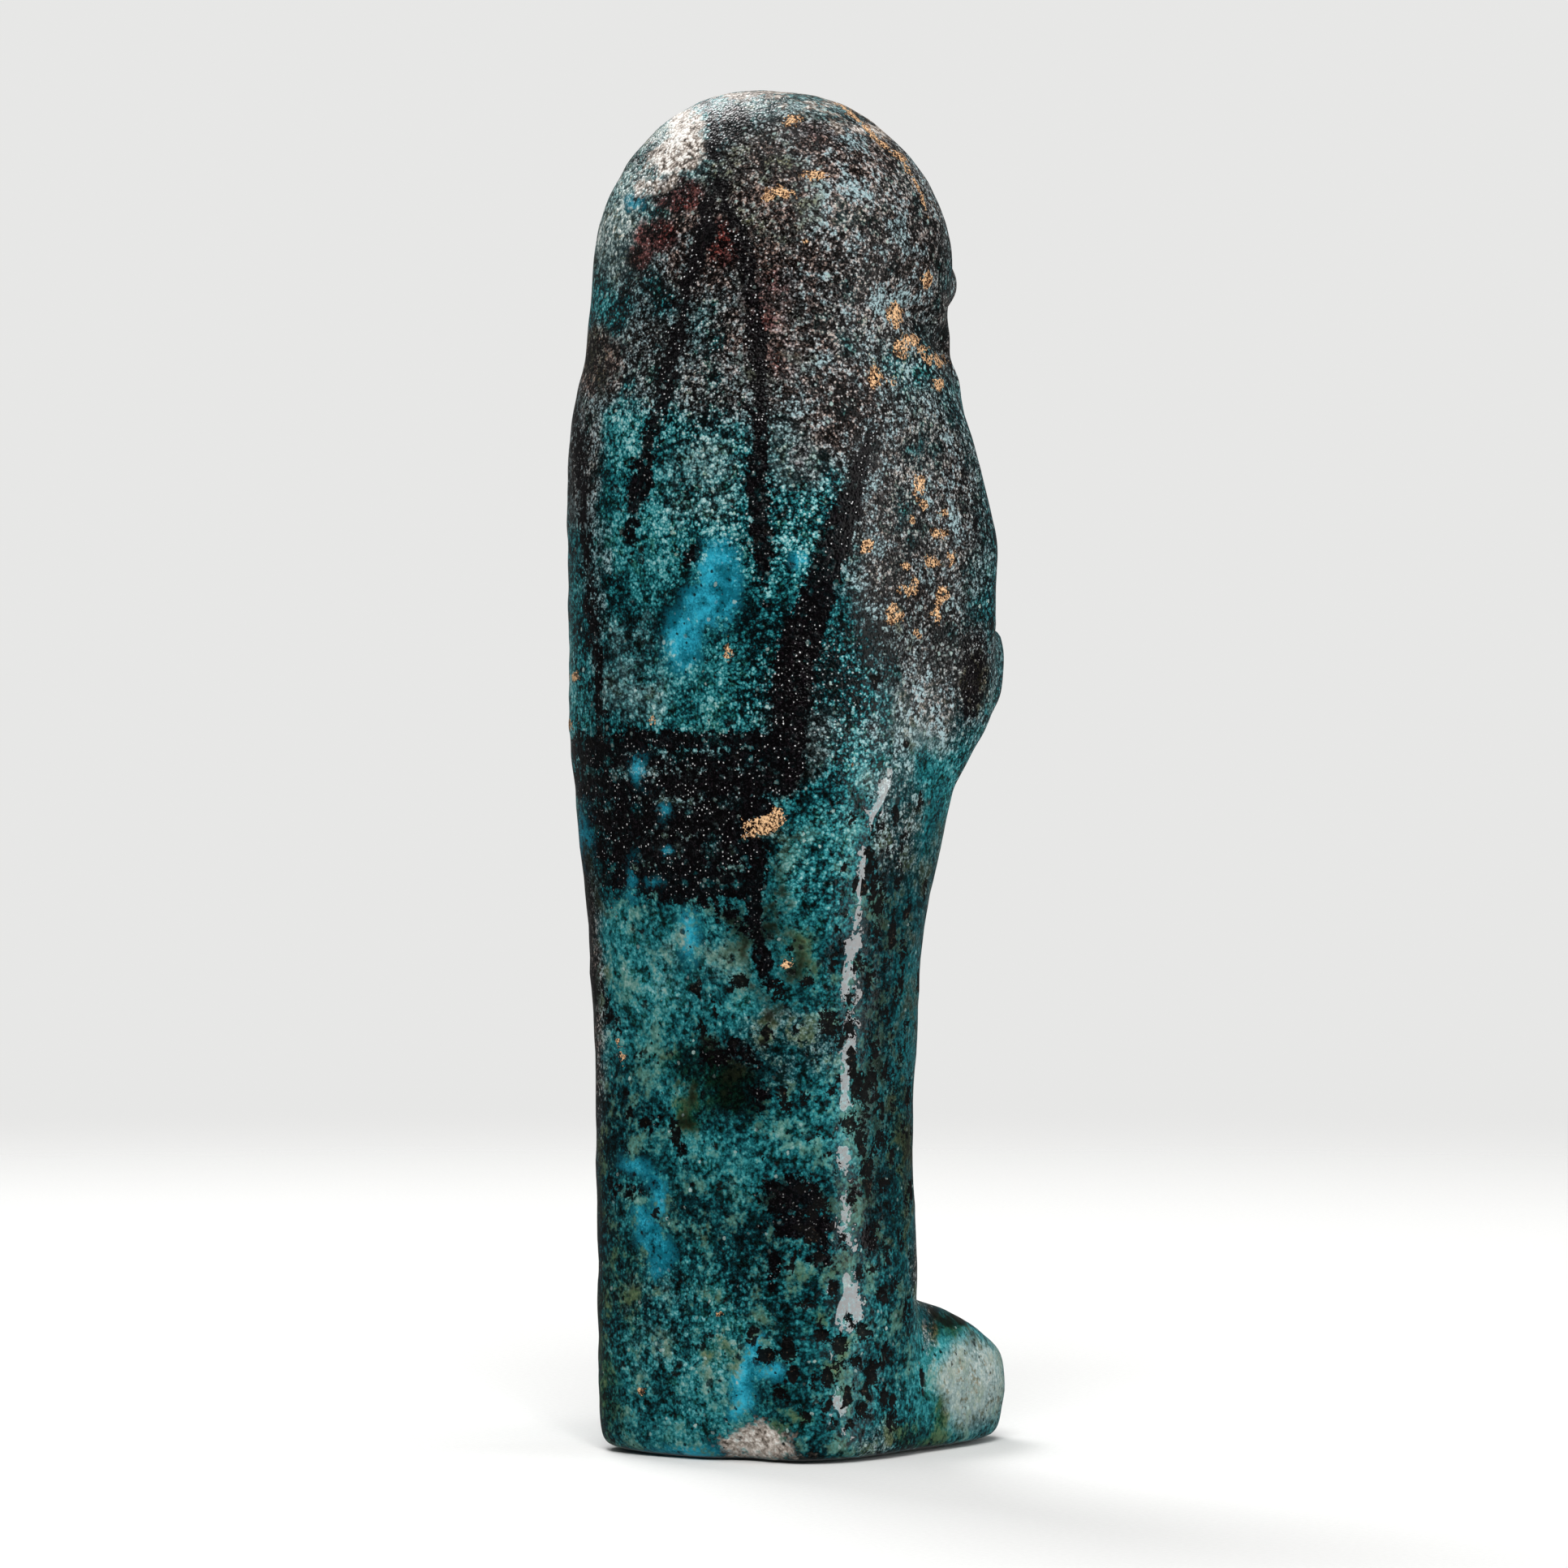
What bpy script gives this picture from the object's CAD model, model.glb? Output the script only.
import math

import bpy
import numpy as np
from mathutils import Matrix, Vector, noise


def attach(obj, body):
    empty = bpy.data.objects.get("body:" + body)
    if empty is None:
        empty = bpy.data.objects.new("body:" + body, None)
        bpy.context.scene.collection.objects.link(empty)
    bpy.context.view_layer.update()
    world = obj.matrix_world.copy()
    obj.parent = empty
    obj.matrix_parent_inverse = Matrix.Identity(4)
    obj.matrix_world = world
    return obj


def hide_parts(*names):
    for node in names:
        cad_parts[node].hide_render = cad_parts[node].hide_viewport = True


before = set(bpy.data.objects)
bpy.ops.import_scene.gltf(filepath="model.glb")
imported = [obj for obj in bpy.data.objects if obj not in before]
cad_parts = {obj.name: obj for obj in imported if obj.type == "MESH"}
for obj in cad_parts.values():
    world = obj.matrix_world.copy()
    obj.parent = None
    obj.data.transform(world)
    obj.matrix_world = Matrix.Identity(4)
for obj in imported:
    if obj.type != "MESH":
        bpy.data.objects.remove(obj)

# The pressed body. A shabti is one lump of quartz paste, pushed into a mould with its face down,
# smoothed over the back by hand and dried before firing. The copy here keeps the solid's form,
# rounds its facets and makes its net fine enough for the carving and the wear.
MM = 0.001
WELD = 0.002 * MM
QUAD_LIMIT = math.radians(70)
FACE_NET = {"half_width": 6.4, "low": 81, "high": 90.2}
FIST_NET = {"across": 6.5, "up": 67.3, "half_width": 2.9, "half_height": 2.6}
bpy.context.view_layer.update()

bpy.ops.object.select_all(action="DESELECT")
body = bpy.data.objects.new("shabti_glazed_body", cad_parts["shabti_figure"].data.copy())
body.data.materials.clear()
bpy.context.scene.collection.objects.link(body)
bpy.context.view_layer.objects.active = body
body.select_set(True)
bpy.ops.object.mode_set(mode="EDIT")
bpy.ops.mesh.select_all(action="SELECT")
bpy.ops.mesh.remove_doubles(threshold=WELD)
bpy.ops.mesh.tris_convert_to_quads(face_threshold=QUAD_LIMIT, shape_threshold=QUAD_LIMIT)
bpy.ops.mesh.select_mode(type="FACE")
bpy.ops.mesh.select_all(action="DESELECT")
bpy.ops.object.mode_set(mode="OBJECT")
rounding = body.modifiers.new("rounding", "SUBSURF")
rounding.levels = rounding.render_levels = 2
bpy.ops.object.modifier_apply(modifier=rounding.name)
centres, facing = (np.empty(len(body.data.polygons) * 3, np.float32) for _ in range(2))
body.data.polygons.foreach_get("center", centres)
body.data.polygons.foreach_get("normal", facing)
across, depth, height = centres.reshape(-1, 3).T / MM
on_face = (np.abs(across) < FACE_NET["half_width"]) & (height > FACE_NET["low"]) & (height < FACE_NET["high"])
beside_fist, above_fist = np.abs(across) - FIST_NET["across"], height - FIST_NET["up"]
on_fist = (np.abs(beside_fist) < FIST_NET["half_width"]) & (np.abs(above_fist) < FIST_NET["half_height"])
finer = (facing.reshape(-1, 3)[:, 1] < 0.1) & (depth < -2) & (on_face | on_fist)
body.data.polygons.foreach_set("select", finer)
bpy.ops.object.mode_set(mode="EDIT")
bpy.ops.mesh.subdivide(number_cuts=1, smoothness=0)
bpy.ops.object.mode_set(mode="OBJECT")
bpy.ops.object.shade_smooth()


def read_skin(what):
    """Every skin point's place or outward direction, as rows of x, y, z."""
    values = np.empty(len(body.data.vertices) * 3, np.float32)
    body.data.vertices.foreach_get(what, values)
    return values.reshape(-1, 3).astype(float)


def push_skin(amount):
    """Moves every skin point outwards by its amount in millimetres; the flat sole stays flat."""
    places, outward = read_skin("co"), read_skin("normal")
    flat = places[:, 2] < 0.02 * MM
    moved = places + outward * (amount * MM)[:, None]
    moved[:, 2] = np.where(flat, 0, np.maximum(moved[:, 2], 0))
    body.data.vertices.foreach_set("co", moved.astype(np.float32).ravel())
    body.data.update()


def rise(start, end, value):
    """Goes smoothly from 0 at start to 1 at end."""
    share = np.clip((value - start) / (end - start), 0, 1)
    return share * share * (3 - 2 * share)


def stroke_edge(across, up, stroke):
    """Distance to one stroke's edge, less than 0 inside. Its points are (across, up, half width)."""
    nearest = np.full(across.shape, 1e3)
    for (x0, y0, r0), (x1, y1, r1) in zip(stroke, stroke[1:]):
        run, climb = x1 - x0, y1 - y0
        share = np.clip(((across - x0) * run + (up - y0) * climb) / (run * run + climb * climb), 0, 1)
        away = np.hypot(across - x0 - share * run, up - y0 - share * climb)
        nearest = np.minimum(nearest, away - r0 - (r1 - r0) * share)
    return nearest


def strokes_edge(across, up, strokes):
    """Distance to the nearest edge of several strokes."""
    return np.min([stroke_edge(across, up, stroke) for stroke in strokes], axis=0)


def both_sides(strokes):
    """The strokes given for the figure's left side, and the same on its right side."""
    return strokes + [[(-x, z, r) for x, z, r in stroke] for stroke in strokes]


# Tool work on the front. The mould gave only soft forms, so the eyelids, mouth, ears and fingers
# were sharpened with a point in the damp paste. Places are in millimetres across and up, on the
# front of the figure; each stroke has its half width.
UPPER_LIDS = [
    [(1.3, 86.95, 0.1), (2.0, 87.75, 0.16), (2.95, 88.05, 0.18), (3.95, 87.75, 0.16), (5.0, 87.1, 0.1)],
]
LOWER_LIDS = [
    [(1.3, 86.95, 0.08), (2.1, 86.45, 0.12), (3.0, 86.25, 0.12), (3.95, 86.5, 0.12), (4.8, 87.0, 0.08)],
]
EYEBALLS = [[(2.3, 87.1, 0.5), (3.6, 87.1, 0.5)]]
BROWS = [[(1.0, 88.7, 0.16), (2.6, 89.25, 0.2), (4.2, 89.05, 0.18), (5.6, 88.2, 0.12)]]
UPPER_LIP = [[(-1.5, 82.55, 0.15), (-0.5, 82.85, 0.3), (0.5, 82.85, 0.3), (1.5, 82.55, 0.15)]]
LOWER_LIP = [[(-1.1, 81.8, 0.2), (0, 81.65, 0.32), (1.1, 81.8, 0.2)]]
MOUTH_LINE = [
    [(-1.9, 82.32, 0.1), (-0.8, 82.22, 0.16), (0, 82.3, 0.16), (0.8, 82.22, 0.16), (1.9, 82.32, 0.1)],
]
NOSTRILS = [[(0.65, 83.95, 0.16), (0.95, 84.05, 0.12)]]
EAR_HOLLOWS = [[(8.2, 87.1, 0.15), (8.9, 86.4, 0.2), (8.7, 85.2, 0.2), (8.2, 84.5, 0.15)]]
UPPER_ARM_EDGES = [
    [(-13.5, 60.1, 0.12), (-4.5, 64.0, 0.2), (3.2, 67.3, 0.12)],
    [(-11.0, 53.7, 0.12), (-2.0, 58.5, 0.2), (5.6, 62.5, 0.12)],
]
LOWER_ARM_EDGES = [
    [(13.5, 60.1, 0.12), (7.0, 62.9, 0.2)],
    [(-0.4, 66.2, 0.2), (-3.2, 67.3, 0.12)],
    [(11.0, 53.7, 0.12), (0.4, 59.3, 0.2)],
]
FIST_EDGES = [
    [
        (3.3, 65.0, 0.12), (3.2, 67.0, 0.2), (4.3, 69.2, 0.2), (6.2, 69.9, 0.2), (8.2, 69.2, 0.2),
        (9.2, 67.0, 0.2), (8.6, 64.6, 0.2), (7.0, 63.5, 0.12),
    ],
]
FINGER_GAPS = [[(4.0, z, 0.1), (6.2, z + 0.1, 0.14), (8.0, z - 0.1, 0.08)] for z in (65.3, 66.45, 67.6)]
THUMBS = [[(4.3, 68.6, 0.35), (6.2, 69.0, 0.5), (7.4, 68.5, 0.4)]]
TOOL_WORK = [
    {"strokes": both_sides(UPPER_LIDS), "lift": 0.2, "slope": 0.25},
    {"strokes": both_sides(LOWER_LIDS), "lift": 0.14, "slope": 0.22},
    {"strokes": both_sides(EYEBALLS), "lift": 0.12, "slope": 0.5},
    {"strokes": both_sides(BROWS), "lift": 0.16, "slope": 0.35},
    {"strokes": UPPER_LIP + LOWER_LIP, "lift": 0.3, "slope": 0.45},
    {"strokes": MOUTH_LINE, "lift": -0.35, "slope": 0.25},
    {"strokes": UPPER_ARM_EDGES + LOWER_ARM_EDGES, "lift": -0.32, "slope": 0.5},
    {"strokes": both_sides(FIST_EDGES), "lift": -0.3, "slope": 0.4},
    {"strokes": both_sides(NOSTRILS), "lift": -0.15, "slope": 0.2},
    {"strokes": both_sides(EAR_HOLLOWS), "lift": -0.35, "slope": 0.35},
    {"strokes": both_sides(FINGER_GAPS), "lift": -0.28, "slope": 0.3},
    {"strokes": both_sides(THUMBS), "lift": 0.2, "slope": 0.4},
]

across, depth, height = (read_skin("co") / MM).T
front = rise(0.1, 0.5, -read_skin("normal")[:, 1])
for work in TOOL_WORK:
    edge = strokes_edge(across, height, work["strokes"])
    push_skin(work["lift"] * (1 - rise(-0.05, work["slope"], edge)) * front)

# The camera. It stands about 0.7 m behind the figure, to its right and level with its middle.
# The marks of paint and wear further on are placed by where they are in this view.
FRAME_PIXELS = 1932
FOCAL_PIXELS = 11676
SENSOR = 36
VIEW_AZIMUTH, VIEW_ELEVATION, VIEW_DISTANCE = math.radians(216), math.radians(1.5), 700
VIEW_TARGET = Vector((0.75, 0.55, 49.0))

to_camera = Vector((
    math.sin(VIEW_AZIMUTH) * math.cos(VIEW_ELEVATION),
    -math.cos(VIEW_AZIMUTH) * math.cos(VIEW_ELEVATION),
    math.sin(VIEW_ELEVATION),
))
camera = bpy.data.objects.new("camera", bpy.data.cameras.new("camera"))
camera.location = (VIEW_TARGET + to_camera * VIEW_DISTANCE) * MM
camera.rotation_euler = to_camera.to_track_quat("Z", "Y").to_euler()
camera.data.sensor_width = SENSOR
camera.data.lens = SENSOR * FOCAL_PIXELS / FRAME_PIXELS
camera.data.clip_start, camera.data.clip_end = 0.01, 20
bpy.context.scene.collection.objects.link(camera)
bpy.context.scene.camera = camera
bpy.context.view_layer.update()

# Marks of the brush, the kiln and the ground. The figure was painted with manganese black on the
# raw glaze: a tied headband with two tails, and a bag on two straps. In the kiln the glaze pooled,
# boiled and ran, and in the ground it took stains and a tan crust.

# Points of a stroke: right, down and half width, in pixels of the camera's view
PAINT_STROKES = [
    [(872, 128, 5), (877, 150, 9), (880, 185, 9), (886, 205, 3)],
    [
        (888, 200, 4), (876, 240, 10), (869, 282, 12), (855, 320, 11), (842, 375, 11), (831, 438, 11),
        (821, 480, 11), (808, 518, 12), (796, 556, 12), (787, 602, 12), (779, 648, 9), (775, 686, 2),
    ],
    [
        (888, 215, 4), (892, 248, 10), (909, 282, 12), (918, 316, 13), (930, 400, 12), (935, 459, 12),
        (935, 501, 13), (935, 564, 13), (935, 627, 14), (941, 669, 14), (942, 745, 5),
    ],
    [
        (1075, 520, 6), (1055, 594, 15), (1040, 644, 19), (1019, 695, 22), (1006, 737, 24),
        (989, 787, 25), (977, 834, 24), (972, 880, 22), (972, 918, 22), (968, 965, 20),
    ],
    [
        (705, 470, 4), (709, 500, 6), (716, 590, 7), (722, 644, 7), (726, 707, 7), (733, 770, 7),
        (735, 821, 8), (739, 855, 8), (741, 905, 9),
    ],
    [(712, 920, 15), (750, 922, 20), (800, 914, 14), (900, 911, 12), (985, 916, 13)],
    [(712, 968, 18), (770, 972, 17), (850, 966, 20), (925, 964, 20), (975, 950, 18)],
    [(730, 935, 14), (800, 938, 12), (960, 935, 14)],
    [(722, 1006, 12), (770, 1010, 22), (860, 1010, 24), (935, 1000, 20)],
    [(738, 1050, 10), (780, 1050, 22), (860, 1050, 24), (918, 1045, 22)],
    [(745, 1086, 8), (785, 1086, 14), (860, 1088, 24), (918, 1086, 16)],
    [(925, 1010, 10), (936, 1060, 11), (928, 1107, 12), (934, 1149, 11), (941, 1190, 10), (944, 1225, 5)],
    [(800, 1100, 6), (850, 1110, 9), (895, 1125, 12), (925, 1150, 9)],
    [(728, 1205, 6), (745, 1240, 8), (763, 1275, 6)],
    [(718, 905, 8), (716, 1000, 5), (720, 1120, 6), (722, 1230, 7), (728, 1440, 6)],
]

# Spots: right, down, half width and half height, in the same pixels
PAINT_CELLS = [
    (786, 950, 10, 18), (819, 996, 10, 11), (822, 1048, 8, 8), (805, 1090, 9, 8), (780, 1086, 6, 20),
    (718, 1022, 9, 28), (786, 998, 13, 13), (750, 997, 10, 12), (849, 998, 9, 12), (750, 1042, 8, 13),
    (839, 1042, 10, 14), (879, 1040, 15, 15), (904, 1048, 9, 9), (843, 1090, 8, 9), (875, 1088, 9, 9),
    (907, 1088, 10, 10), (748, 1085, 6, 12), (899, 988, 19, 14), (838, 934, 16, 9), (770, 1060, 6, 6),
    (880, 932, 20, 7), (748, 938, 12, 8),
]
PAINT_BLOTCHES = [
    (977, 1474, 42, 26), (988, 1512, 40, 16), (1010, 1555, 22, 12), (962, 1462, 20, 12),
    (800, 1466, 12, 9), (776, 1470, 14, 12), (760, 1462, 10, 8), (1196, 842, 13, 44), (1205, 810, 8, 22),
    (852, 682, 17, 12), (908, 1290, 14, 12), (951, 1560, 8, 18), (887, 1300, 22, 14), (925, 1308, 9, 7),
    (939, 1355, 8, 18), (840, 1418, 6, 14), (804, 1390, 7, 14), (1052, 1470, 10, 22), (1068, 1530, 9, 18),
    (776, 1424, 12, 9),
]
CRUST = [
    (942, 1015, 24, 12), (930, 1026, 14, 7), (960, 1000, 9, 7), (960, 238, 17, 7), (948, 243, 9, 5),
    (1004, 217, 12, 6), (975, 149, 9, 5), (989, 297, 5, 3), (1141, 345, 8, 9), (1102, 388, 9, 18),
    (1110, 428, 9, 12), (1124, 420, 8, 7), (1134, 430, 8, 5), (1146, 440, 10, 4), (1157, 447, 9, 4),
    (1080, 465, 8, 13), (1101, 471, 6, 6), (1154, 473, 7, 8), (1132, 598, 8, 12), (1138, 621, 6, 9),
    (1160, 632, 7, 3), (1122, 640, 3, 4), (1069, 674, 8, 8), (1153, 659, 8, 6), (1116, 697, 5, 4),
    (1145, 693, 8, 6), (1171, 686, 4, 9), (1118, 726, 10, 7), (1127, 716, 4, 6), (1162, 733, 8, 9),
    (1101, 756, 10, 13), (1153, 756, 5, 11), (1129, 781, 5, 6), (897, 806, 4, 11), (803, 889, 5, 5),
    (709, 834, 5, 5), (705, 893, 4, 6), (891, 1104, 6, 5), (915, 1118, 3, 4), (757, 1124, 3, 4),
    (756, 1110, 4, 3), (995, 1164, 5, 5), (969, 1189, 8, 7), (951, 1242, 4, 4), (764, 1284, 4, 9),
    (768, 1300, 4, 8), (1053, 942, 3, 3), (886, 1617, 3, 3), (789, 1712, 3, 4),
]
SEAM_CRUST = [
    [
        (1028, 130, 0.5), (1042, 137, 2.5), (1074, 166, 3), (1096, 183, 0.5), (1111, 197, 2.5),
        (1135, 238, 1.5), (1142, 268, 0.5),
    ],
]
AZURE = [
    (886, 715, 26, 52), (868, 745, 26, 26), (842, 790, 22, 36), (786, 948, 9, 15), (820, 997, 8, 10),
    (821, 1048, 8, 5), (806, 1090, 7, 5), (719, 1028, 7, 24), (778, 1086, 5, 14), (850, 1150, 10, 24),
    (781, 248, 9, 9), (845, 1792, 46, 7),
    (985, 690, 8, 10),
]
AZURE_RUNS = [
    [(770, 1430, 6), (795, 1444, 7), (811, 1460, 6), (813, 1488, 7)],
    [(788, 1492, 5), (800, 1520, 14), (816, 1548, 12), (808, 1570, 4)],
    [(934, 1648, 5), (926, 1672, 9), (912, 1700, 11), (916, 1728, 12), (905, 1742, 6)],
    [(936, 1692, 6), (957, 1689, 8)],
]
BARE = [
    (842, 172, 24, 34), (822, 200, 18, 18), (934, 1776, 34, 20), (960, 1788, 16, 8), (905, 117, 50, 4),
    (962, 114, 60, 3), (1046, 131, 30, 3), (800, 226, 16, 7), (860, 150, 14, 12), (1080, 160, 20, 5),
]
PITS = [
    (910, 1212, 12, 12), (957, 1219, 11, 12), (1022, 1260, 14, 16), (804, 1294, 8, 7), (787, 1297, 6, 6),
    (881, 1294, 11, 10), (895, 1352, 7, 6), (964, 1345, 9, 9), (969, 1364, 7, 7), (992, 1345, 6, 7),
    (863, 1261, 8, 7), (831, 1396, 7, 16), (793, 1385, 9, 9), (851, 1455, 5, 5), (939, 1430, 6, 6),
    (945, 1669, 12, 11), (972, 1669, 10, 10), (977, 1694, 8, 9), (1036, 1657, 11, 13),
    (1021, 1699, 9, 11), (1099, 1753, 8, 12), (1050, 1008, 7, 9), (1080, 1090, 7, 11),
    (1080, 1120, 6, 10), (1059, 1183, 9, 11), (1048, 1262, 9, 14), (1055, 1340, 10, 14),
    (1066, 1350, 8, 16), (1046, 1385, 10, 12), (1060, 1400, 8, 18), (1068, 1440, 8, 14),
    (1072, 1330, 6, 12), (1082, 1400, 5, 14), (1090, 1250, 4, 9), (1110, 1300, 4, 12), (1075, 1060, 5, 7),
    (1100, 1330, 4, 9), (1000, 1500, 9, 9), (985, 1468, 9, 8), (1012, 1478, 9, 8), (960, 1716, 10, 9),
    (994, 1747, 7, 6), (1075, 1690, 9, 14), (1062, 1640, 8, 12), (1090, 1720, 6, 12),
]
PIT_BANDS = [
    {"count": 38, "top": 985, "step": 17,
     "right": (1072, 50, 0.618), "half": (3, 4, 0.382), "tall": (5, 8, 0.27)},
    {"count": 29, "top": 1170, "step": 19,
     "right": (975, 85, 0.618), "half": (4, 6, 0.43), "tall": (4, 7, 0.31)},
    {"count": 11, "top": 1630, "step": 12,
     "right": (1010, 95, 0.618), "half": (4, 5, 0.43), "tall": (5, 7, 0.31)},
]


def scattered(number, start, reach, turn):
    """A value between start and start + reach that hops about from one number to the next."""
    return start + reach * (number * turn % 1)


for band in PIT_BANDS:
    for number in range(band["count"]):
        right, down = scattered(number, *band["right"]), band["top"] + band["step"] * number
        PITS.append((right, down, scattered(number, *band["half"]), scattered(number, *band["tall"])))

SMOOTH_GLAZE = [
    [(1108, 946, 5), (1096, 974, 15), (1084, 1002, 9), (1076, 1020, 3)],
    [(1066, 1048, 4), (1064, 1080, 9), (1060, 1112, 6), (1056, 1130, 3)],
    [(1055, 1152, 4), (1050, 1180, 7), (1045, 1215, 11), (1046, 1236, 6)],
    [(1050, 1246, 4), (1047, 1275, 8), (1043, 1300, 9), (1041, 1340, 11), (1040, 1372, 7)],
    [(1042, 1402, 4), (1039, 1424, 9), (1040, 1446, 4)],
    [(1043, 1462, 3), (1041, 1490, 9), (1044, 1525, 8), (1049, 1540, 2)],
    [(1048, 1568, 6), (1035, 1590, 20), (1045, 1620, 16), (1064, 1645, 4)],
    [(1013, 1655, 5), (1017, 1680, 6), (1040, 1735, 10), (1028, 1745, 8), (1042, 1768, 3)],
    [(1170, 842, 8), (1155, 880, 16), (1130, 915, 16), (1115, 935, 8)],
]

# Soft areas: right, down, half width, half height and strength
PITTED = [
    (1080, 1240, 50, 380, 1.0), (1125, 1260, 34, 330, 0.7), (1050, 1690, 80, 110, 0.7),
    (1110, 1000, 40, 90, 0.5), (900, 1260, 80, 60, 0.5), (1000, 1500, 60, 90, 0.7),
    (790, 1420, 60, 90, 0.45), (940, 1680, 60, 60, 0.5),
]
SMOOTH_SIDE = [
    (1140, 880, 60, 60, 1.0), (1135, 1180, 50, 300, 1.0), (1135, 1480, 44, 160, 1.0),
    (1190, 1690, 80, 120, 0.8),
]
DARK_WASH = [
    (1080, 300, 130, 190, 0.72), (950, 300, 110, 130, 0.96), (870, 300, 80, 90, 0.9),
    (960, 420, 110, 110, 0.85), (1010, 200, 150, 70, 0.85), (800, 440, 80, 70, 0.55),
    (735, 450, 50, 60, 0.85), (1040, 500, 80, 90, 0.8), (1130, 640, 110, 210, 0.68),
    (1160, 820, 90, 120, 0.6), (890, 470, 90, 60, 0.62), (800, 330, 60, 60, 0.35),
    (720, 560, 30, 120, 0.6), (1190, 400, 60, 90, 0.7), (1100, 240, 80, 80, 0.6),
    (1000, 560, 30, 50, 0.5), (980, 900, 60, 90, 0.35), (1155, 1150, 50, 160, 0.25),
    (1120, 1400, 40, 220, 0.2), (960, 1290, 90, 60, 0.35), (1105, 1010, 40, 100, 0.5),
    (1100, 900, 40, 60, 0.4), (720, 1260, 30, 220, 0.8), (850, 1000, 130, 100, 0.4),
    (1135, 1560, 20, 60, 0.6), (1145, 1640, 12, 50, 0.5), (1080, 1780, 30, 30, 0.4),
    (735, 700, 22, 130, 0.35), (725, 1560, 16, 160, 0.5),
]
PALE_GRAINS = [
    (760, 290, 45, 70, 0.75), (1025, 250, 50, 45, 0.75), (955, 135, 100, 22, 0.6),
    (830, 180, 60, 56, 0.6), (775, 230, 40, 60, 0.6), (1140, 850, 60, 80, 0.25),
    (1000, 900, 60, 60, 0.35), (930, 360, 60, 40, 0.25), (1120, 260, 60, 60, 0.35),
    (980, 560, 60, 60, 0.45), (1196, 1705, 48, 66, 1.0), (944, 1786, 30, 16, 1.0),
    (780, 830, 60, 90, 0.35), (800, 1620, 70, 90, 0.2), (1090, 370, 60, 50, 0.3),
    (1060, 960, 60, 60, 0.2), (1135, 880, 50, 60, 0.5), (1140, 560, 70, 100, 0.2),
    (850, 1190, 90, 60, 0.2), (870, 590, 80, 70, 0.3),
]
RUST = [
    (834, 240, 38, 26, 0.9), (808, 290, 34, 26, 0.8), (787, 318, 20, 20, 0.8), (893, 299, 28, 40, 0.75),
    (947, 370, 45, 60, 0.5), (964, 440, 40, 40, 0.4), (905, 150, 26, 26, 0.6), (1000, 165, 40, 20, 0.35),
    (986, 830, 30, 60, 0.45), (1020, 690, 26, 60, 0.3), (750, 940, 34, 30, 0.35), (800, 192, 40, 40, 0.3),
    (1145, 1620, 20, 40, 0.4), (1073, 1722, 6, 6, 0.9), (980, 560, 26, 20, 0.3),
]
OLIVE = [
    (930, 250, 90, 120, 0.5), (950, 420, 60, 80, 0.4), (862, 1312, 50, 36, 0.9),
    (902, 1345, 56, 46, 0.95), (858, 1372, 44, 28, 0.8), (950, 1290, 60, 40, 0.5),
    (735, 440, 40, 50, 0.6), (1000, 1180, 60, 50, 0.45), (930, 1130, 60, 60, 0.3),
    (990, 1600, 50, 60, 0.3), (870, 1590, 70, 40, 0.25), (962, 1716, 20, 16, 0.8),
    (1110, 1430, 24, 160, 0.6), (1158, 1737, 16, 30, 0.85), (1165, 1632, 30, 24, 0.8),
    (995, 1747, 14, 12, 0.7), (740, 1480, 20, 120, 0.4), (745, 1640, 20, 90, 0.35),
    (960, 1000, 50, 30, 0.3), (1130, 770, 50, 60, 0.2), (1200, 840, 24, 50, 0.7), (880, 885, 60, 30, 0.3),
    (765, 1600, 50, 110, 0.55), (745, 1710, 30, 80, 0.7), (1000, 1650, 60, 70, 0.45),
    (880, 1640, 70, 60, 0.4), (960, 1740, 50, 40, 0.5), (1130, 1770, 50, 24, 0.7),
]
SOOT = [
    (930, 1120, 60, 60, 0.5), (978, 1478, 60, 50, 0.5), (718, 1250, 22, 260, 0.9),
    (715, 600, 18, 160, 0.4), (945, 1170, 24, 60, 0.6), (890, 1310, 60, 50, 0.6),
    (1080, 1350, 26, 200, 0.4), (985, 830, 50, 110, 0.45), (975, 930, 50, 60, 0.6),
    (870, 300, 70, 60, 0.3), (900, 400, 120, 90, 0.3), (930, 640, 26, 90, 0.4), (735, 450, 40, 50, 0.5),
    (1130, 1290, 46, 300, 0.4), (735, 1540, 12, 160, 0.5), (1150, 1600, 14, 40, 0.7),
    (1172, 1628, 26, 12, 0.8), (1196, 1654, 12, 18, 0.5), (1200, 840, 18, 46, 0.6),
    (1120, 1180, 50, 140, 0.35), (1110, 1450, 30, 180, 0.35), (868, 1318, 50, 36, 0.7),
    (905, 1350, 52, 44, 0.8), (860, 1380, 40, 22, 0.6), (1150, 1010, 30, 60, 0.2),
    (960, 1210, 50, 60, 0.5), (735, 1000, 22, 180, 0.5),
]
GRIT = [
    (940, 280, 260, 180, 0.9), (960, 460, 260, 130, 1.0), (960, 620, 170, 110, 0.7),
    (1010, 860, 110, 120, 0.8), (1130, 700, 110, 200, 0.5), (850, 1000, 140, 110, 0.5),
    (1010, 1060, 60, 90, 0.4), (850, 1620, 130, 120, 0.35),
]
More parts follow.
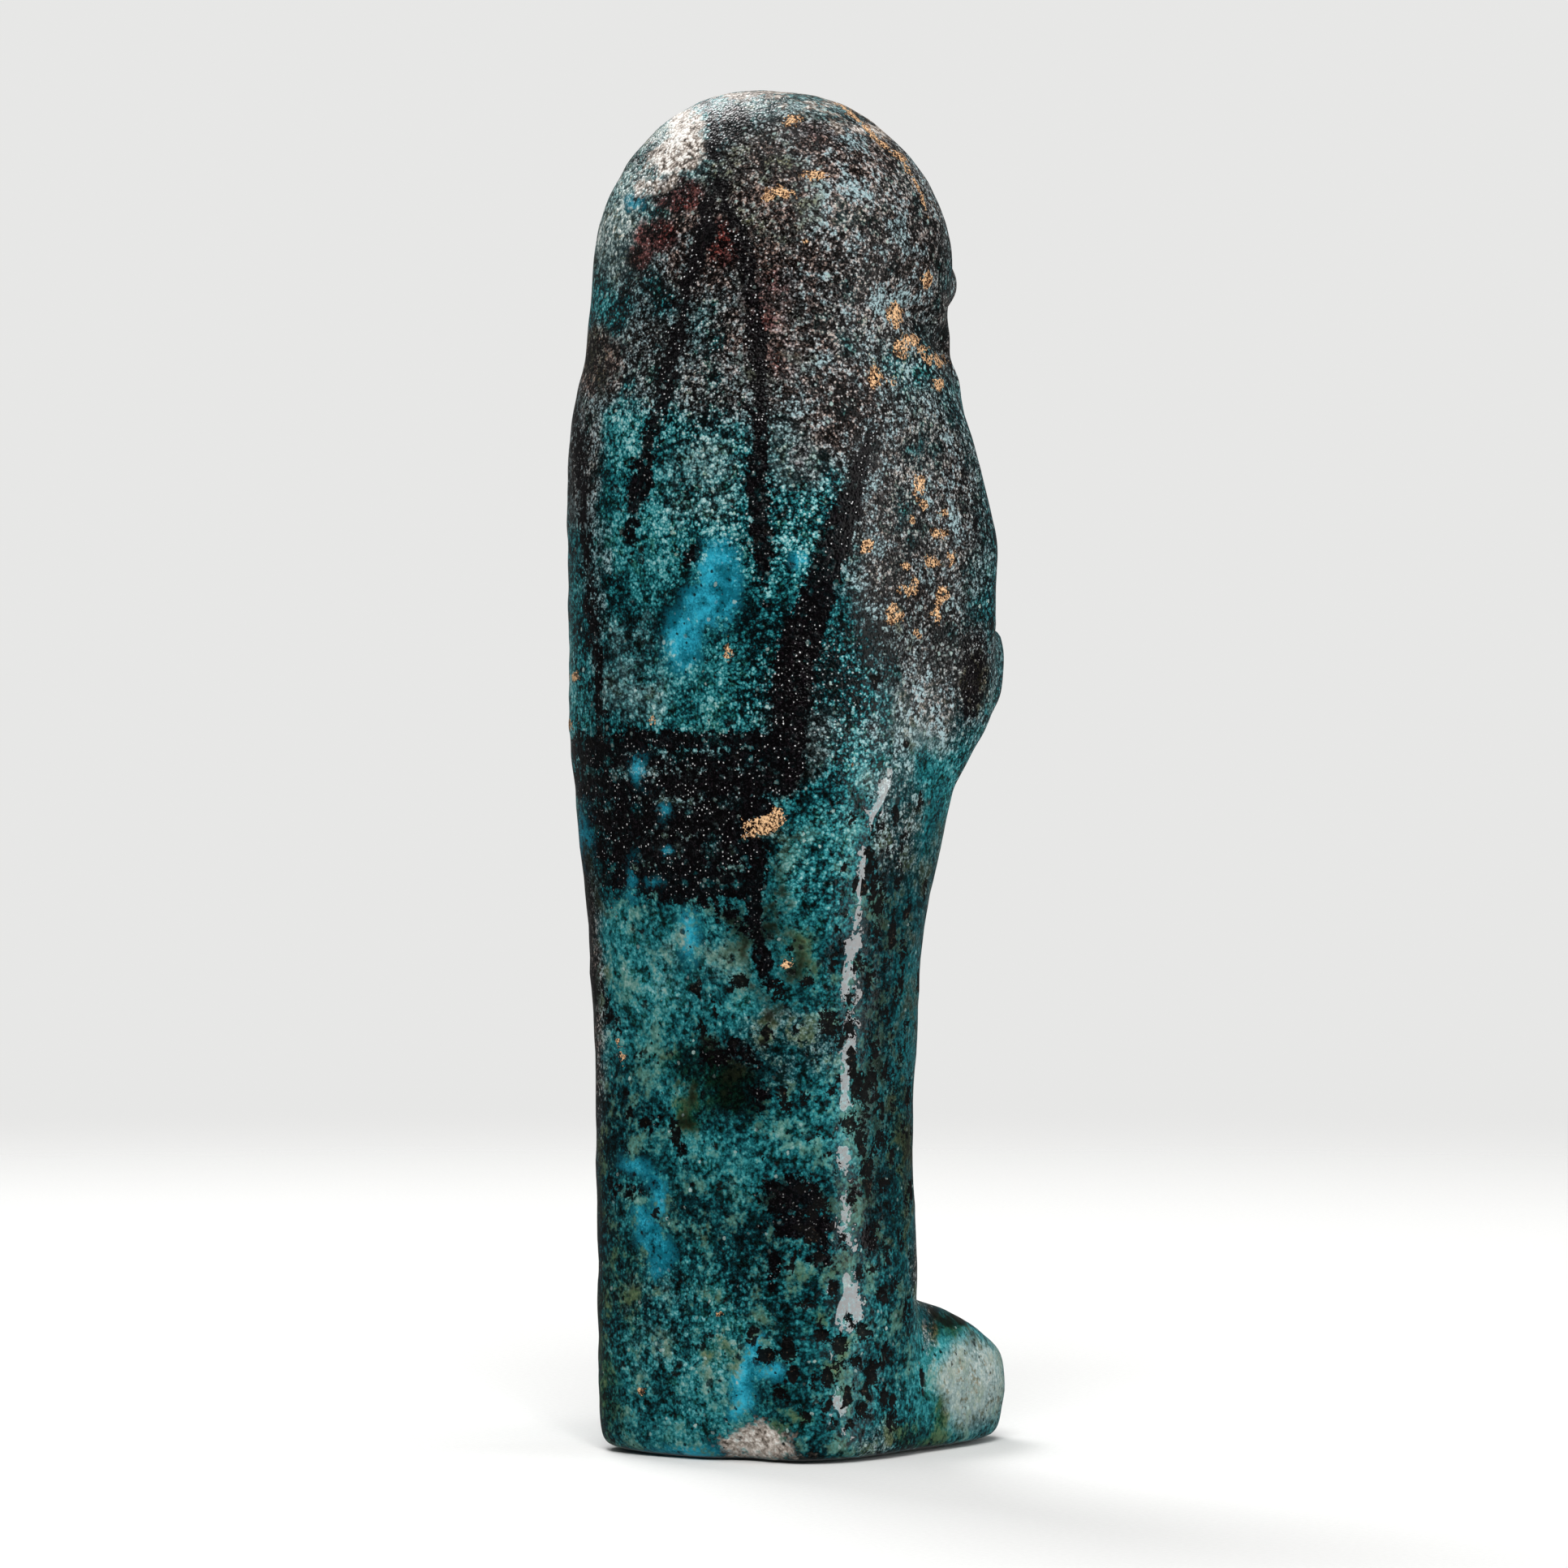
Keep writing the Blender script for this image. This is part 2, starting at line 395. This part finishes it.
PALE_TEAL = [
    (820, 850, 80, 90, 0.8), (860, 700, 90, 90, 0.7), (800, 1180, 90, 80, 0.75), (850, 620, 100, 60, 0.8),
    (1010, 1060, 50, 90, 0.55), (1140, 980, 60, 60, 0.4), (850, 1640, 110, 120, 0.3),
    (970, 1400, 90, 60, 0.5), (760, 380, 40, 50, 0.5), (1010, 900, 60, 80, 0.45), (800, 560, 60, 60, 0.3),
    (1175, 1700, 70, 90, 1.9), (870, 1760, 110, 40, 0.9), (1195, 920, 40, 30, 0.3),
    (1180, 500, 30, 60, 0.4), (760, 240, 40, 50, 0.6), (1000, 1760, 60, 30, 0.5),
    (820, 1350, 60, 50, 0.4), (1130, 1150, 50, 300, 0.2),
]

places, outward = read_skin("co"), read_skin("normal")
seen_from = places - np.array(camera.location)
view_axes = np.array(camera.matrix_world.to_3x3())
ahead = -seen_from @ view_axes[:, 2]
view_right = FRAME_PIXELS / 2 + FOCAL_PIXELS * (seen_from @ view_axes[:, 0]) / ahead
view_down = FRAME_PIXELS / 2 - FOCAL_PIXELS * (seen_from @ view_axes[:, 1]) / ahead
PIXELS_PER_MM = FOCAL_PIXELS / VIEW_DISTANCE
across, depth, height = (places / MM).T
CHEST_HALF, LEGS_HALF, LEGS_TOP = 10, 7.2, 52
inner_front = 1 - rise(-2.5, 1, np.abs(across) - np.where(height > LEGS_TOP, CHEST_HALF, LEGS_HALF))
inner_front *= rise(2, 4, -depth) * rise(11, 13, height)
turned = outward @ np.array(to_camera) - 2 * inner_front
seen = rise(-0.04, 0.1, turned)
nearly_seen = rise(-0.75, 0.0, turned)
hidden = 1 - rise(-0.5, 0.1, turned)


def spots_edge(spots):
    """Distance in millimetres to the edge of the nearest spot of the camera's view, less than 0 inside."""
    nearest = np.full(len(places), 1e3)
    for right, down, half_width, half_height in spots:
        ring = np.hypot((view_right - right) / half_width, (view_down - down) / half_height) - 1
        nearest = np.minimum(nearest, ring * min(half_width, half_height))
    return nearest / PIXELS_PER_MM


def soft_areas(areas):
    """How strongly the soft areas of the camera's view cover each skin point, from 0 to 1."""
    cover = np.zeros(len(places))
    for right, down, half_width, half_height, strength in areas:
        ring = np.hypot((view_right - right) / half_width, (view_down - down) / half_height)
        cover = np.maximum(cover, strength * (1 - rise(0.45, 1.25, ring)))
    return cover * nearly_seen


def view_strokes(strokes):
    """Distance in millimetres to the edge of the nearest stroke of the camera's view."""
    return strokes_edge(view_right, view_down, strokes) / PIXELS_PER_MM


FAR_OFF = 4
unseen = (1 - rise(-0.35, 0.02, turned)) * FAR_OFF
marks = {
    "paint": np.minimum(view_strokes(PAINT_STROKES), spots_edge(PAINT_BLOTCHES)) + unseen,
    "crust": np.minimum(spots_edge(CRUST), view_strokes(SEAM_CRUST)) + unseen,
    "azure": np.minimum(spots_edge(AZURE), view_strokes(AZURE_RUNS)) + unseen,
    "bare": spots_edge(BARE) + unseen,
    "pit": spots_edge(PITS) + unseen,
    "smooth": view_strokes(SMOOTH_GLAZE) + unseen,
    "cell": spots_edge(PAINT_CELLS) + unseen,
    "wash": soft_areas(DARK_WASH),
    "pale": soft_areas(PALE_GRAINS),
    "rust": soft_areas(RUST),
    "olive": soft_areas(OLIVE),
    "light": soft_areas(PALE_TEAL),
    "soot": soft_areas(SOOT),
    "grit": soft_areas(GRIT),
    "pitted": soft_areas(PITTED),
}

# Paint on the front, which the camera doesn't see: outlined eyes and brows, a headband, a hoe in
# each hand, and a framed column of rows of short strokes down the legs,
# which stand for writing and aren't letters. The wig and its lappets are washed dark.
PUPILS = [[(2.95, 87.15, 0.6), (3.1, 87.15, 0.6)]]
EYE_TAILS = [[(4.8, 87.0, 0.25), (6.3, 86.9, 0.16)]]
PAINTED_BROWS = [[(1.0, 88.8, 0.2), (2.6, 89.35, 0.28), (4.2, 89.15, 0.26), (6.0, 88.2, 0.16)]]
HEADBAND = [[(-9.6, 92.6, 0.3), (-6.5, 94.4, 0.5), (0, 95.6, 0.6), (6.5, 94.4, 0.5), (9.6, 92.6, 0.3)]]
HOES = [
    [(6.4, 69.9, 0.42), (7.2, 76.8, 0.42)],
    [(7.2, 76.9, 0.42), (9.2, 75.6, 0.6), (10.4, 72.0, 0.9)],
]
COLLAR = [
    [(-3.3, 78.4, 0.36), (0, 77.0, 0.4), (3.3, 78.4, 0.36)],
    [(-3.4, 75.9, 0.36), (0, 74.5, 0.4), (3.4, 75.9, 0.36)],
]
COLUMN_SIDE, COLUMN_TOP, COLUMN_END = 4.6, 52.0, 13.5
COLUMN_FRAME = [
    [(-COLUMN_SIDE, COLUMN_TOP, 0.38), (COLUMN_SIDE, COLUMN_TOP, 0.38)],
    [(-COLUMN_SIDE, COLUMN_TOP, 0.36), (-COLUMN_SIDE, COLUMN_END, 0.34)],
    [(COLUMN_SIDE, COLUMN_TOP, 0.36), (COLUMN_SIDE, COLUMN_END, 0.34)],
]
ROW_STEP, TICK_STEP, TICK_HALF = 3.5, 2.35, 0.75
row_strokes = []
for row in range(int((COLUMN_TOP - COLUMN_END) / ROW_STEP)):
    z = COLUMN_TOP - ROW_STEP * (row + 0.7)
    for tick in (-1, 0, 1):
        x = tick * TICK_STEP + 0.2 * math.sin(2.1 * row + tick)
        lean = math.radians((15, 75, -30, 105, 40)[(2 * row + tick) % 5] + 8 * math.sin(1.7 * row + 2 * tick))
        run, climb = TICK_HALF * math.sin(lean), TICK_HALF * math.cos(lean)
        row_strokes.append([(x - run, z - climb, 0.46), (x + run, z + climb, 0.38)])

painted_cuts = UPPER_ARM_EDGES + LOWER_ARM_EDGES + both_sides(FIST_EDGES + FINGER_GAPS) + MOUTH_LINE
painted_pairs = both_sides(UPPER_LIDS + LOWER_LIDS + PAINTED_BROWS + PUPILS + EYE_TAILS + HOES)
front_strokes = painted_cuts + painted_pairs + HEADBAND + COLLAR + COLUMN_FRAME + row_strokes
front_paint = strokes_edge(across, height, front_strokes)
facing = rise(0.05, 0.3, -outward[:, 1]) * (1 - seen)
marks["paint"] = np.minimum(marks["paint"], front_paint + (1 - facing) * FAR_OFF)

EGG_HALF_WIDTH, EGG_HALF_HEIGHT, EGG_MIDDLE = 7.0, 7.3, 86.3
face_edge = (np.hypot(across / EGG_HALF_WIDTH, (height - EGG_MIDDLE) / EGG_HALF_HEIGHT) - 1) * EGG_HALF_WIDTH
outside_face = np.where(depth < 0, rise(-0.2, 0.5, face_edge), 1)
lappets = rise(69.0, 69.9, height) * rise(3.5, 4.1, np.abs(across)) * (1 - rise(10.6, 11.6, np.abs(across)))
lappets *= outside_face
wig = np.maximum(rise(80.0, 82.5, height) * outside_face, np.where(depth < 0, lappets, 0))
marks["wash"] = np.maximum(marks["wash"], 0.85 * wig * hidden)
marks["light"] = np.maximum(marks["light"], (0.7 + 0.3 * (1 - outside_face)) * hidden)
marks["hidden"] = hidden
low = 1 - rise(38, 54, height)
calm = np.minimum(1 - 0.18 * low, 1 - (0.4 + 0.3 * (1 - outside_face)) * hidden)
marks["calm"] = calm * (1 - 0.45 * soft_areas(SMOOTH_SIDE))
marks["grit"] = np.maximum(marks["grit"], 0.5 * wig * hidden)
marks["low"] = low

for name, values in marks.items():
    layer = body.data.attributes.new(name, "FLOAT", "POINT")
    layer.data.foreach_set("value", np.clip(values, -FAR_OFF, FAR_OFF).astype(np.float32))

# The worn skin. Hand-smoothed paste is a little lumpy, burst bubbles leave pits in the glaze, thick
# glaze and crust stand proud of it, and the chips show the coarse paste below.
LUMPS = [(0.16, 9.0, 11), (0.1, 3.6, 23), (0.07, 1.5, 37)]
relief = np.zeros(len(places))
for lift, size, seed in LUMPS:
    offset = Vector((seed, 2 * seed, 3 * seed))
    relief += lift * np.array([noise.noise(Vector(point) / size + offset) for point in places / MM])
relief *= rise(0, 2.5, height)
relief += 0.07 * (1 - rise(-0.1, 0.3, marks["crust"]))
relief -= 0.22 * (1 - rise(-0.35, 0.15, marks["pit"]))
relief += 0.07 * (1 - rise(-0.4, 0.5, marks["azure"]))
relief -= 0.3 * (1 - rise(-0.4, 0.4, marks["bare"])) * rise(0, 0.6, height) * (1 - rise(60, 80, height))
relief -= 0.06 * (1 - rise(-0.15, 0.1, strokes_edge(across, height, row_strokes))) * facing
push_skin(relief)

# Glaze and paint. The glaze grew out of salts in the paste, so it is thin and full of quartz
# grains: light turquoise, grey and white grains of a quarter to half a millimetre in a darker
# blue-green glass. It is glassy where it ran smooth, and the paint is nearly black and dull.


class Wire:
    """The output of a shader node, on which numbers can be worked out with plain arithmetic."""

    nodes = links = None

    def __init__(self, output):
        self.output = output

    @classmethod
    def node(cls, kind, settings=None, sockets=None, output=0):
        """Adds a node: its settings first, then the values or links of its sockets."""
        made = cls.nodes.new(kind)
        for name, value in (settings or {}).items():
            if name == "stops":
                while len(made.color_ramp.elements) < len(value):
                    made.color_ramp.elements.new(0.5)
                for element, (position, colour) in zip(made.color_ramp.elements, value):
                    element.position, element.color = position, (*colour, 1)
            else:
                setattr(made, name, value)
        for name, value in (sockets or {}).items():
            if isinstance(value, Wire):
                cls.links.new(value.output, made.inputs[name])
            else:
                made.inputs[name].default_value = value
        return cls(made.outputs[output] if made.outputs else None)

    def maths(self, operation, first, second):
        return self.node("ShaderNodeMath", {"operation": operation}, {0: first, 1: second})

    def __add__(self, other):
        return self.maths("ADD", self, other)

    def __sub__(self, other):
        return self.maths("SUBTRACT", self, other)

    def __rsub__(self, other):
        return self.maths("SUBTRACT", other, self)

    def __mul__(self, other):
        return self.maths("MULTIPLY", self, other)

    __radd__, __rmul__ = __add__, __mul__

    def between(self, start, end):
        """0 at start and 1 at end, smoothly."""
        settings = {"interpolation_type": "SMOOTHSTEP"}
        return self.node("ShaderNodeMapRange", settings, {"Value": self, "From Min": start, "From Max": end})


def blend(share, below, above):
    """One colour laid over another."""
    return Wire.node("ShaderNodeMix", {"data_type": "RGBA"}, {0: share, 6: below, 7: above}, 2)


def darken(share, below, tint):
    """A colour multiplied by a tint."""
    settings = {"data_type": "RGBA", "blend_type": "MULTIPLY"}
    return Wire.node("ShaderNodeMix", settings, {0: share, 6: below, 7: tint}, 2)


def colour(red, green, blue):
    return (red, green, blue, 1)


glaze = bpy.data.materials.new("blue_green_faience_glaze")
glaze.use_nodes = True
glaze.node_tree.nodes.clear()
Wire.nodes, Wire.links = glaze.node_tree.nodes, glaze.node_tree.links
place = Wire.node("ShaderNodeTexCoord", output="Object")
mark = {name: Wire.node("ShaderNodeAttribute", {"attribute_name": name}, output="Fac") for name in marks}


def cloud(size, detail=2, roughness=0.5, at=place):
    """Soft noise of about the given size in millimetres, from 0 to 1."""
    sockets = {"Vector": at, "Scale": 1 / (size * MM), "Detail": detail, "Roughness": roughness}
    return Wire.node("ShaderNodeTexNoise", None, sockets, "Fac")


def grains(size, at=place):
    """Cells of about the given size in millimetres: distance from their middles, and random colour."""
    away = Wire.node("ShaderNodeTexVoronoi", None, {"Vector": at, "Scale": 1 / (size * MM)}, "Distance")
    return away, Wire(away.output.node.outputs["Color"])


def channel(of, which):
    return Wire.node("ShaderNodeSeparateColor", None, {0: of}, which)


dust = cloud(0.15, 2, 0.6) - 0.5
crumb = cloud(0.34, 2, 0.6) - 0.5
mottle = cloud(0.95, 2, 0.6) - 0.5
patchy = cloud(2.6, 2, 0.55) - 0.5
broad = cloud(8, 1) - 0.5
ragged = patchy * 1.1 + mottle * 1.2 + crumb * 0.7
jagged = mottle * 0.7 + crumb * 1.5 + dust * 0.9

grain_round, grain_random = grains(0.42)
grain_tone = channel(grain_random, "Red")
grain_gloss = channel(grain_random, "Green")
grain_pick = channel(grain_random, "Blue")
WARP_SIZE, WARP_REACH = 0.5, 0.1
noise_sockets = {"Vector": place, "Scale": 1 / (WARP_SIZE * MM), "Detail": 1}
warp = Wire.node("ShaderNodeTexNoise", None, noise_sockets, "Color")
warp_sockets = {0: warp, 1: (WARP_REACH * MM,) * 3, 2: place}
warp = Wire.node("ShaderNodeVectorMath", {"operation": "MULTIPLY_ADD"}, warp_sockets, "Vector")
fine_round, fine_random = grains(0.22, warp)
fine_tone = channel(fine_random, "Red")
grain_share = grain_tone - grain_round * 0.9 - 0.1
tone = (fine_tone * 0.4 - fine_round * 0.45 + dust * 0.8) * (mark["grit"] * 0.55 + 0.72 - mark["low"] * 0.3)
tone = tone + grain_share * (mark["grit"] * 0.3 + 0.16)
tone = tone + crumb * (mark["low"] * 0.3 + 0.5) + mottle * (mark["low"] * 0.25 + 0.6)
tone = (tone + patchy * 0.7 + broad * 0.7) * mark["calm"] + 0.5

GLAZE_STOPS = [
    (0.18, (0.0006, 0.003, 0.0035)), (0.38, (0.0015, 0.02, 0.025)), (0.54, (0.007, 0.1, 0.115)),
    (0.7, (0.035, 0.25, 0.27)), (1.0, (0.33, 0.56, 0.56)),
]
PALE_STOPS = [
    (0.15, (0.012, 0.03, 0.034)), (0.4, (0.08, 0.13, 0.13)), (0.62, (0.25, 0.33, 0.32)),
    (0.95, (0.75, 0.77, 0.73)),
]
WASH_STOPS = [
    (0.2, (0.003, 0.0025, 0.0022)), (0.4, (0.024, 0.021, 0.02)), (0.58, (0.082, 0.083, 0.085)),
    (0.8, (0.18, 0.185, 0.186)), (1.0, (0.44, 0.46, 0.46)),
]
CHIP_STOPS = [
    (0.2, (0.07, 0.055, 0.045)), (0.45, (0.3, 0.25, 0.21)), (0.7, (0.6, 0.52, 0.46)),
    (0.95, (0.95, 0.9, 0.85)),
]


def ramp(stops, value):
    return Wire.node("ShaderNodeValToRGB", {"stops": stops}, {0: value})


def spread(name, unevenness, start, end):
    """How much of a soft area's tint shows, broken up by noise and never outside the area."""
    return (mark[name] + unevenness).between(start, end) * mark[name].between(0.02, 0.15)


teal = ramp(GLAZE_STOPS, tone + mark["light"] * 0.12 - 0.03)
pale_share = spread("pale", patchy * 0.8 + crumb * 0.6, 0.1, 1.0)
teal = blend(pale_share, teal, ramp(PALE_STOPS, tone + mark["light"] * 0.06))
teal = darken((mottle + crumb).between(-0.04, -0.2) * 0.65, teal, colour(1.0, 0.62, 0.36))
salt = dust * 2.4 + crumb * 1.1 + fine_tone * 0.6 - fine_round * 0.6
salt = salt + grain_share * 0.5 + mottle * 0.6 + patchy * 0.7
dark = ramp(WASH_STOPS, (salt + broad * 0.6) * (1 - mark["hidden"] * 0.35) + pale_share * 0.2 + 0.46)
cast = patchy * 1.2 + mottle * 0.8 + crumb * 0.8
dark = darken(cast.between(0.02, 0.2) * 0.7, dark, colour(0.55, 0.88, 0.95))
dark = darken(cast.between(0.09, -0.12) * 0.9, dark, colour(1.0, 0.62, 0.5))
wash = spread("wash", patchy * 1.5 + mottle * 1.0 + crumb * 0.5, 0.12, 0.8)
skin = blend(wash, teal, dark)
skin = darken(spread("rust", mottle * 0.9 + crumb * 0.6, 0.15, 0.75), skin, colour(0.5, 0.14, 0.13))
skin = darken(spread("olive", mottle * 1.2 + patchy * 1.6, 0.25, 0.95), skin, colour(0.5, 0.34, 0.16))
moss = mark["low"] * (patchy + mottle * 0.8 + crumb * 0.6).between(0.02, 0.26) * 0.5
skin = blend(moss, skin, colour(0.1, 0.15, 0.075))

pool = (mark["azure"] + ragged * 1.3 + jagged * 0.6).between(0.45, -0.4)
pool = pool * (patchy + crumb * 1.2).between(-0.45, -0.05)
pool_light = (mottle + patchy + dust * 0.6).between(-0.22, 0.2)
pool_colour = blend(pool_light, colour(0.004, 0.14, 0.2), colour(0.03, 0.44, 0.62))
skin = blend(pool * 0.8, skin, pool_colour)

chip = (mark["bare"] + ragged * 2.0).between(0.4, -0.3)
skin = blend(chip * 0.9, skin, ramp(CHIP_STOPS, tone * 1.3 + crumb * 0.5 + mark["pale"] * 0.1 + 0.03))

quartz = (grain_pick + mark["grit"] * 0.03).between(0.955, 0.98) * (grain_round + crumb).between(0.42, 0.25)
skin = blend(quartz * grain_gloss * 0.9, skin, colour(0.34, 0.46, 0.43))

soot = spread("soot", mottle * 1.2 + patchy * 1.8 + crumb * 0.4, 0.25, 0.95)
skin = darken(soot, skin, colour(0.09, 0.085, 0.08))
speck = (grains(1.7)[0] + crumb * 0.5).between(0.22, 0.1)
speck = speck * (broad + grain_pick * 0.15).between(0.06, 0.16)
pin_round, pin_random = grains(0.8, warp)
pinhole = (pin_round + crumb * 0.3).between(0.16, 0.1) * channel(pin_random, "Red").between(0.45, 0.5)
stretched = Wire.node("ShaderNodeVectorMath", {"operation": "MULTIPLY"}, {0: warp, 1: (1, 1, 0.6)}, "Vector")
bubble_round, bubble_random = grains(1.35, stretched)
bubble = (bubble_round + crumb * 0.6 + mottle * 1.2).between(0.36, 0.31)
bubble = bubble * (channel(bubble_random, "Red") + mark["pitted"] * 0.6).between(0.98, 1.02)
hole = (mark["pit"] + jagged * 0.8).between(0.03, -0.03)
hole = hole.maths("MAXIMUM", hole, bubble)
brush = (mark["paint"] + (ragged + jagged * 0.5) * (1 - mark["hidden"] * 0.75)).between(0.16, -0.2)
cell = (mark["cell"] + ragged * 0.6).between(-0.05, -0.45)
covered = brush * (1 - grain_pick.between(0.85, 0.95) * 0.35) * (1 - pool * 0.7) * (1 - cell * 0.75)
paint_light = (crumb + dust).between(0, 0.3)
paint_colour = blend(paint_light, colour(0.001, 0.0007, 0.001), colour(0.009, 0.006, 0.008))
skin = blend(covered * 0.98, skin, paint_colour)
skin = blend(speck * 0.85, skin, colour(0.004, 0.004, 0.0035))
skin = blend(pinhole * 0.9, skin, colour(0.003, 0.005, 0.005))
hole_colour = blend((crumb + dust).between(0.1, 0.35), colour(0.001, 0.001, 0.001), colour(0.06, 0.04, 0.025))
skin = blend(hole * 0.97, skin, hole_colour)
crystal = (fine_round + dust * 0.8).between(0.3, 0.18) * fine_tone.between(0.74, 0.8)
crystal = crystal * (mark["grit"] + covered * 0.5).between(0.2, 1.2) * (1 - mark["hidden"] * 0.7)
skin = blend(crystal * 0.9, skin, colour(0.66, 0.66, 0.66))

soil = (mark["crust"] + mottle * 1.1 + crumb * 0.9 - 0.02).between(0.015, -0.015)
soil = soil * (crumb + dust * 0.8).between(-0.12, -0.07)
soil_light = (crumb + mottle * 0.5 + dust * 1.4).between(-0.12, 0.14)
soil_colour = blend(soil_light, colour(0.12, 0.05, 0.02), colour(0.9, 0.56, 0.3))
skin = blend(soil * 0.95, skin, soil_colour)

glassy = (mark["smooth"] + mottle * 2.4 + crumb * 1.6 + patchy * 1.6 + 0.06).between(0.05, -0.06) * (1 - hole)
roughness = grain_gloss * 0.16 + 0.1 + (soil + chip * 0.6 + hole) * 0.5 + mark["hidden"] * 0.2
roughness = roughness * (1 - glassy * 0.75)
dullness = Wire.node("ShaderNodeClamp", None, {"Value": roughness, "Min": 0.05, "Max": 0.95})

coarse = mark["grit"] * 0.8 + 0.3
facets = (0.5 - fine_round) * (fine_tone * 0.12 + 0.02) + (0.5 - grain_round) * (grain_tone - 0.3) * 0.16
facets = facets + dust * 0.04
heights = facets * coarse * mark["calm"] * (1 - glassy * 0.97)
heights = heights * (1 - mark["azure"].between(0.3, -0.3) * 0.6) + crumb * 0.05 * (1 - glassy)
heights = heights - hole * 0.12 - speck * 0.07 - pinhole * 0.05 + soil * (crumb * 0.3 + 0.1)
normal = Wire.node("ShaderNodeBump", None, {"Strength": 1.0, "Distance": MM, "Height": heights}, "Normal")

surface = Wire.node("ShaderNodeBsdfPrincipled", None, {
    "Base Color": skin, "Roughness": dullness, "IOR": 1.5, "Specular IOR Level": 0.1, "Normal": normal,
    "Coat Weight": glassy, "Coat Roughness": 0.04, "Coat IOR": 1.8,
})
Wire.node("ShaderNodeOutputMaterial", None, {"Surface": surface})

body.data.materials.append(glaze)
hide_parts("shabti_figure")
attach(body, "root")

# Floor and light. A plain pale floor that fades into a pale surround, a large soft key light from
# the camera's side, a tall strip light to the right of it, a soft light from above and weak fills.
FLOOR_HALF = 1.5
FADE_START, FADE_END = 0.2, 0.42
PALE = 0.8
bpy.ops.mesh.primitive_circle_add(vertices=96, radius=FLOOR_HALF, fill_type="NGON", location=(0, 0, 0))
floor = bpy.context.object
floor.name = "studio_floor"
paper = bpy.data.materials.new("pale_paper")
paper.use_nodes = True
paper.node_tree.nodes.clear()
Wire.nodes, Wire.links = paper.node_tree.nodes, paper.node_tree.links
floor_place = Wire.node("ShaderNodeTexCoord", output="Object")
from_middle = Wire.node("ShaderNodeVectorMath", {"operation": "LENGTH"}, {0: floor_place}, "Value")
fibres = cloud(0.4, 2, at=floor_place)
paper_surface = Wire.node("ShaderNodeBsdfPrincipled", None, {
    "Base Color": blend(fibres, colour(0.7, 0.7, 0.69), colour(0.78, 0.78, 0.77)), "Roughness": 0.85,
})
clear = Wire.node("ShaderNodeBsdfTransparent")
fade = from_middle.between(FADE_START, FADE_END)
faded = Wire.node("ShaderNodeMixShader", None, {0: fade, 1: paper_surface, 2: clear})
Wire.node("ShaderNodeOutputMaterial", None, {"Surface": faded})
floor.data.materials.append(paper)
floor.visible_glossy = False

world = bpy.data.worlds.new("pale_surround")
world.use_nodes = True
world.node_tree.nodes.clear()
Wire.nodes, Wire.links = world.node_tree.nodes, world.node_tree.links
dim = Wire.node("ShaderNodeBackground", None, {"Color": colour(1, 1, 1), "Strength": 0.1})
pale = Wire.node("ShaderNodeBackground", None, {"Color": colour(PALE, PALE, PALE * 0.99), "Strength": 1.0})
to_eye = Wire.node("ShaderNodeLightPath", output="Is Camera Ray")
sky = Wire.node("ShaderNodeMixShader", None, {0: to_eye, 1: dim, 2: pale})
Wire.node("ShaderNodeOutputWorld", None, {"Surface": sky})
bpy.context.scene.world = world
bpy.context.scene.view_settings.view_transform = "Standard"

# Each lamp: azimuth and elevation in degrees, then distance, width and height in metres, and watts
LAMPS = {
    "key": (212, 48, 0.9, 0.35, 0.35, 5.0),
    "sparkle": (226, 36, 0.9, 0.07, 0.07, 1.0),
    "front_sparkle": (325, 40, 1.0, 0.07, 0.07, 0.6),
    "strip": (287, 0, 0.8, 0.5, 0.95, 5.4),
    "top": (200, 82, 0.9, 0.5, 0.5, 3.0),
    "front_fill": (58, 42, 1.0, 0.4, 0.4, 6.5),
    "left_fill": (110, 35, 1.1, 0.6, 0.8, 1.0),
}
middle = Vector((0, 0, 50 * MM))
for name, (azimuth, elevation, distance, wide, high, watts) in LAMPS.items():
    turn, lift = math.radians(azimuth), math.radians(elevation)
    towards = Vector((math.sin(turn) * math.cos(lift), -math.cos(turn) * math.cos(lift), math.sin(lift)))
    data = bpy.data.lights.new(name, "AREA")
    data.shape, data.size, data.size_y, data.energy = "RECTANGLE", wide, high, watts
    light = bpy.data.objects.new(name, data)
    light.location = middle + towards * distance
    light.rotation_euler = towards.to_track_quat("Z", "Y").to_euler()
    light.visible_camera = False
    bpy.context.scene.collection.objects.link(light)
